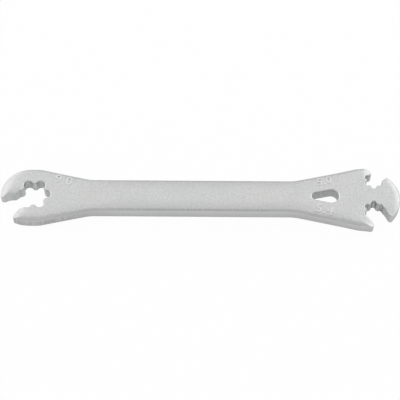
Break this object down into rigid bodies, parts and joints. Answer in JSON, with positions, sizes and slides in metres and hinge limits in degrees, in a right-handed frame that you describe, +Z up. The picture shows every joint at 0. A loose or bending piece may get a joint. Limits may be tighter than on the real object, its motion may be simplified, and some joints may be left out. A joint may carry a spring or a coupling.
{
  "type": "spoke wrench",
  "caption": "Flat solid steel spoke wrench for splined nipples, with a large open socket in its jaw, smaller open sockets in its head and a keyhole slot.",
  "frame": {"origin": "middle of the underside, under the centre of the tool's outline", "axes": "+X along the shank from the jaw to the head, +Y across the flat tool, +Z up through its thickness"},
  "size_m": [0.1082, 0.0178, 0.0042],
  "materials": {
    "plated_steel": "satin plated"
  },
  "bodies": {
    "root": {"wrench_body": "plated_steel"}
  },
  "joints": []
}
